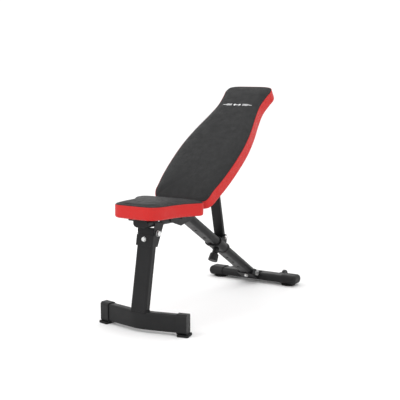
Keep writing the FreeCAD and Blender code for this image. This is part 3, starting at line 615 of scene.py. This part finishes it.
def stitches(name, levels, normals, row, body):
    """Thread that dips in and out of the cover along one row of a pad."""
    path = [Vector(p) for p in levels[row]]
    lift = [Vector(n) for n in normals[row]]
    run, groups = 0.0, []
    start = None
    for i, point in enumerate(path):
        following = path[(i + 1) % len(path)]
        length = (following - point).length
        if start is None:
            start = i
        run += length
        if run >= STITCH_PITCH:
            run = 0.0
            way = (following - path[start]).normalized()
            middle = (following + path[start]) / 2
            half = STITCH_PITCH * 0.37
            points = [middle + way * (half * k) + lift[start] * (THREAD_R * (0.9 - k * k * 1.6))
                      for k in (-1.0, -0.6, 0.0, 0.6, 1.0)]
            groups.append(tube_mesh(points, [THREAD_R * w for w in (0.7, 1, 1.1, 1, 0.7)], 6,
                                    False))
            start = (i + 1) % len(path)
    new_piece(name, *gather(groups), "thread", body, slot="vinyl_black")


def resample(points, step, closed):
    p = np.array([tuple(v) for v in points] + ([tuple(points[0])] if closed else []))
    run = np.concatenate([[0], np.cumsum(np.linalg.norm(np.diff(p, axis=0), axis=1))])
    count = max(3, int(run[-1] / step))
    even = np.linspace(0, run[-1], count, endpoint=not closed)
    return [Vector([np.interp(t, run, p[:, k]) for k in range(3)]) for t in even]


def bead(points, radius, closed=False):
    """Rippled weld bead along points."""
    path = resample(points, 0.0007, closed)
    radii = []
    for i, point in enumerate(path):
        ripple = 0.11 * math.sin(2 * math.pi * i / 4)
        wander = 0.22 * noise.noise(point * 180)
        taper = 1.0 if closed else min(1.0, 0.45 + 0.12 * min(i, len(path) - 1 - i))
        radii.append(radius * taper * (1 + ripple + wander))
    return tube_mesh(path, radii, 8, closed)


def mirrored_beads(points, radius):
    """The same bead on both sides of the middle."""
    other = [Vector((-p.x, p.y, p.z)) for p in points]
    return [bead(points, radius), bead(other, radius)]


def on_beam(y_mm, above_mm, x_mm):
    """Point beside the beam, above its centre line at y."""
    y = FOOT_CENTRE.y + y_mm * MM
    height = BEAM_START.z + (y - BEAM_START.y) * math.tan(math.radians(SEAT_ANGLE))
    return Vector((x_mm * MM, y, height + above_mm * MM))


def round_tube(x_mm, centre_y, radius, first, last):
    """Arc in the side view about the rear foot tube's round side, at x."""
    angles = [math.radians(first + (last - first) * k / 12) for k in range(13)]
    return [side_view(centre_y + radius * math.cos(a), ROUND_Z + radius * math.sin(a), x_mm)
            for a in angles]


def welds():
    frame_beads = []
    corner, half_w, half_d = 6.5, 30.2, 14.6
    loop = []
    for quarter, (sx, sy) in enumerate(((1, 1), (-1, 1), (-1, -1), (1, -1))):
        for k in range(7):
            a = math.radians(90 * quarter + 15 * k)
            loop.append(side_view(POST_Y + sy * (half_d - corner) + corner * math.sin(a), POST_LOW,
                                  sx * (half_w - corner) + corner * math.cos(a)))
    frame_beads.append(bead(loop, 0.0026, True))
    frame_beads += mirrored_beads([on_beam(-757, 1.2, 31.4), on_beam(-704.5, -3.8, 31.4)], 0.0019)
    frame_beads += mirrored_beads([on_beam(-661, 3.8, 30.9), on_beam(-552, 8.6, 29.2)], 0.0019)
    frame_beads += mirrored_beads([on_beam(-663.4, 2.5, 30.9), on_beam(-660.8, -7, 30.9)], 0.0018)
    for at in CROSSBAR_AT:
        for edge in (-CROSSBAR_REACH, CROSSBAR_REACH):
            middle = SEAT_EDGE + SEAT_DIR * ((at + edge) * MM) - SEAT_UP * CROSSBAR_DROP
            reach = Vector((0.0145, 0, 0))
            frame_beads.append(bead([middle - reach, middle + reach], 0.0017))
    arc = [side_view(4, 39.6, SIDE_X)] + round_tube(SIDE_X, -ROUND_Y, 15.6, 90, 185)
    frame_beads += mirrored_beads(arc, 0.0019)
    for x in WHEEL_EAR_X:
        frame_beads += mirrored_beads(round_tube(x, ROUND_Y, 15.4, 50, -55), 0.0014)
    new_piece("frame_weld_beads", *gather(frame_beads), "frame_paint", "root")

    slider_beads = mirrored_beads([SLIDER + LEG_DIR * (a * MM) + LEG_UP * 0.0153
                                   + Vector((0.0249, 0, 0)) for a in (-19.5, 19.5)], 0.0017)
    ring = []
    for k in range(24):
        a = 2 * math.pi * k / 24
        ring.append(SLIDER - LEG_UP * 0.0182 + LEG_DIR * (0.0112 * math.cos(a))
                    + Vector((0.0112 * math.sin(a), 0, 0)))
    slider_beads.append(bead(ring, 0.0013, True))
    new_piece("slider_weld_beads", *gather(slider_beads), "frame_paint", "slider")

    reach = STRUT_TOP - BACK_EDGE
    top_at, top_drop = reach.dot(BACK_DIR), -reach.dot(BACK_UP)
    cheek_beads = []
    for side in (-1, 1):
        points = [BACK_EDGE + BACK_DIR * (top_at + side * along) - BACK_UP * drop
                  + Vector((0.0248, 0, 0))
                  for along, drop in ((0.030, 0.0502), (0.0115, top_drop + 0.0035))]
        cheek_beads += mirrored_beads(points, 0.0015)
    new_piece("strut_bracket_weld_beads", *gather(cheek_beads), "frame_paint", "backrest")


def rounded_patch(width, height, corner, place):
    """Grid over a rounded rectangle in the pad's plane, in mm: (x, along) points and faces."""
    columns, rows = max(2, int(width / PATCH_CELL)), max(2, int(height / PATCH_CELL))
    points, faces = [], []
    for j in range(rows + 1):
        v = height * (j / rows - 0.5)
        pinch = max(0.0, abs(v) - (height / 2 - corner))
        half = width / 2 - corner + math.sqrt(max(0.0, corner ** 2 - pinch ** 2))
        for i in range(columns + 1):
            u = 2 * half * (i / columns - 0.5)
            points.append((place[0] + u, place[1] + v))
    for j in range(rows):
        for i in range(columns):
            a = j * (columns + 1) + i
            faces.append((a, a + 1, a + columns + 2, a + columns + 1))
    return points, faces


def printed_mark(top):
    """Dumbbell with a line on either side, printed across the backrest near its head end."""
    patches = [(22, 2.4, 1.0, (0, 0)), (3.2, 12.0, 1.2, (-9.6, 0)), (3.2, 12.0, 1.2, (9.6, 0)),
               (2.6, 8.0, 1.0, (-13.4, 0)), (2.6, 8.0, 1.0, (13.4, 0))]
    for side in (-1, 1):
        patches += [(40, 2.2, 1.0, (side * 42, 0)), (24, 1.4, 0.6, (side * 34, 4.2)),
                    (24, 1.4, 0.6, (side * 34, -4.2))]
    tree = BVHTree.FromObject(top, bpy.context.evaluated_depsgraph_get())
    groups = []
    for width, height, corner, place in patches:
        points, faces = rounded_patch(width, height, corner, (place[0], MARK_AT + place[1]))
        draped = []
        for x, along in points:
            above = BACK_EDGE + BACK_DIR * (along * MM) + BACK_UP * 0.06 + Vector((x * MM, 0, 0))
            hit = tree.ray_cast(above, -BACK_UP)[0]
            draped.append(hit + BACK_UP * PRINT_LIFT)
        count = len(draped)
        sunk = [p - BACK_UP * (2 * PRINT_LIFT) for p in draped]
        groups.append((draped + sunk, faces + [tuple(i + count for i in f[::-1]) for f in faces]))
    new_piece("backrest_mark", *gather(groups), "white_print", "backrest", slot="plastic",
              smooth=False)


# ---------------------------------------------------------------- camera, light and floor
CAMERA_AT = Vector((1.681, FOOT_CENTRE.y - 3.200, 0.900))
CAMERA_AZIMUTH, CAMERA_ELEVATION, CAMERA_ROLL = 31.15, 9.03, -0.22
CAMERA_LENS = 82.7


def camera():
    a, e, r = (math.radians(v) for v in (CAMERA_AZIMUTH, CAMERA_ELEVATION, CAMERA_ROLL))
    back = Vector((math.sin(a) * math.cos(e), -math.cos(a) * math.cos(e), math.sin(e)))
    right = Vector((math.cos(a), math.sin(a), 0))
    up = back.cross(right)
    x = right * math.cos(r) + up * math.sin(r)
    y = up * math.cos(r) - right * math.sin(r)
    data = bpy.data.cameras.new("camera")
    data.lens = CAMERA_LENS
    data.sensor_width = 36.0
    seen = bpy.data.objects.new("camera", data)
    seen.matrix_world = Matrix.Translation(CAMERA_AT) @ Matrix((x, y, back)).transposed().to_4x4()
    bpy.context.scene.collection.objects.link(seen)
    bpy.context.scene.camera = seen


def area_light(name, place, target, size, power):
    data = bpy.data.lights.new(name, "AREA")
    data.shape, data.size, data.energy = "SQUARE", size, power
    lamp = bpy.data.objects.new(name, data)
    lamp.location = place
    lamp.rotation_euler = (Vector(target) - Vector(place)).to_track_quat("-Z", "Y").to_euler()
    bpy.context.scene.collection.objects.link(lamp)


def studio():
    world = bpy.data.worlds.new("studio")
    bpy.context.scene.world = world
    world.use_nodes = True
    background = world.node_tree.nodes["Background"]
    background.inputs["Color"].default_value = (1.0, 1.0, 1.0, 1)
    background.inputs["Strength"].default_value = 1.1
    bpy.context.scene.view_settings.view_transform = "Standard"
    middle = (0, 0, 0.4)
    area_light("key", (-1.6, -2.2, 2.8), middle, 1.8, 30)
    area_light("fill", (2.6, -1.8, 1.6), middle, 2.2, 8)
    area_light("top", (0.2, 0.9, 3.2), middle, 2.0, 15)
    reach = 9.0
    corners = [(-reach, -reach, 0), (reach, -reach, 0), (reach, reach, 0), (-reach, reach, 0)]
    floor = new_piece("floor", corners, [(0, 1, 2, 3)], None, None)
    m = Nodes("pale_floor", 0.8)
    m.colour(m.ramp(m.noise(3.0, 3.0), (0.92, 0.92, 0.92), (0.95, 0.95, 0.95)))
    floor.data.materials.append(m.material)


# ---------------------------------------------------------------- run
paint_cad_nodes()
camera()
studio()
seat = pad("seat", SEAT_OUTLINE, (SEAT_EDGE, SEAT_DIR, SEAT_UP), SEAT_DEPTH, crown=0.0085,
           dip=0.0, cap=0.004, body="root", cad_node="seat_cushion")
backrest = pad("backrest", BACK_OUTLINE, (BACK_EDGE, BACK_DIR, BACK_UP), BACK_DEPTH,
               crown=0.007, dip=0.010, cap=0.006, body="backrest",
               cad_node="backrest_cushion")
for name, piece, body in (("seat", seat, "root"), ("backrest", backrest, "backrest")):
    surface, surface_normals, seam_row = piece[2:]
    stitches(name + "_stitches", surface, surface_normals, seam_row + 5, body)
printed_mark(backrest[0])
welds()
